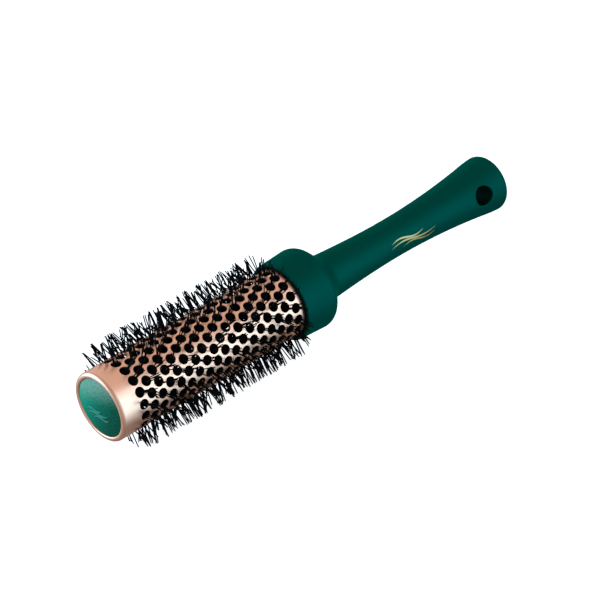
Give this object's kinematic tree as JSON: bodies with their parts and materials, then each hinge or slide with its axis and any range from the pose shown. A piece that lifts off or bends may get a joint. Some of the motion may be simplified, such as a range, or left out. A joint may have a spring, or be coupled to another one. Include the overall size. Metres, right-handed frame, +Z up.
{
  "type": "round hair brush",
  "caption": "Round thermal hair brush: vented metal barrel with staggered rows of nylon bristle tufts, and a waisted soft-touch handle with a collar and a hanging hole.",
  "frame": {"origin": "centre of the hanging hole, on the brush's long axis", "axes": "+X along the brush's axis from the barrel's tip to the handle's end; +Y along the hanging hole; +Z up, across both"},
  "size_m": [0.2578, 0.055, 0.055],
  "materials": {
    "barrel_metal": "rose-gold anodised, satin",
    "cap_plastic": "pearly moulded green, fine grain",
    "bristle_nylon": "black nylon filament",
    "black_nylon": "moulded black nylon",
    "handle_soft_touch": "soft-touch dark green coating",
    "gold_foil": "hot-stamped foil",
    "core_steel": "galvanised wire",
    "ferrule_brass": "crimped sleeve"
  },
  "bodies": {
    "root": {"barrel_tube": "barrel_metal", "tip_cap": "cap_plastic", "insulating_ring": "black_nylon", "rear_hub": "black_nylon", "handle": "handle_soft_touch", "foil_mark": "gold_foil", "core_wire_a": "core_steel", "core_wire_b": "core_steel", "core_tip_ferrule": "ferrule_brass", "core_tail_ferrule": "ferrule_brass", "retaining_pins": "core_steel", "bristle_ring_01": "bristle_nylon", "bristle_ring_02": "bristle_nylon", "bristle_ring_03": "bristle_nylon", "bristle_ring_04": "bristle_nylon", "bristle_ring_05": "bristle_nylon", "bristle_ring_06": "bristle_nylon", "bristle_ring_07": "bristle_nylon", "bristle_ring_08": "bristle_nylon", "bristle_ring_09": "bristle_nylon", "bristle_ring_10": "bristle_nylon", "bristle_ring_11": "bristle_nylon", "bristle_ring_12": "bristle_nylon", "bristle_ring_13": "bristle_nylon", "bristle_ring_14": "bristle_nylon", "bristle_ring_15": "bristle_nylon", "bristle_ring_16": "bristle_nylon", "bristle_ring_17": "bristle_nylon", "bristle_ring_18": "bristle_nylon"}
  },
  "joints": []
}
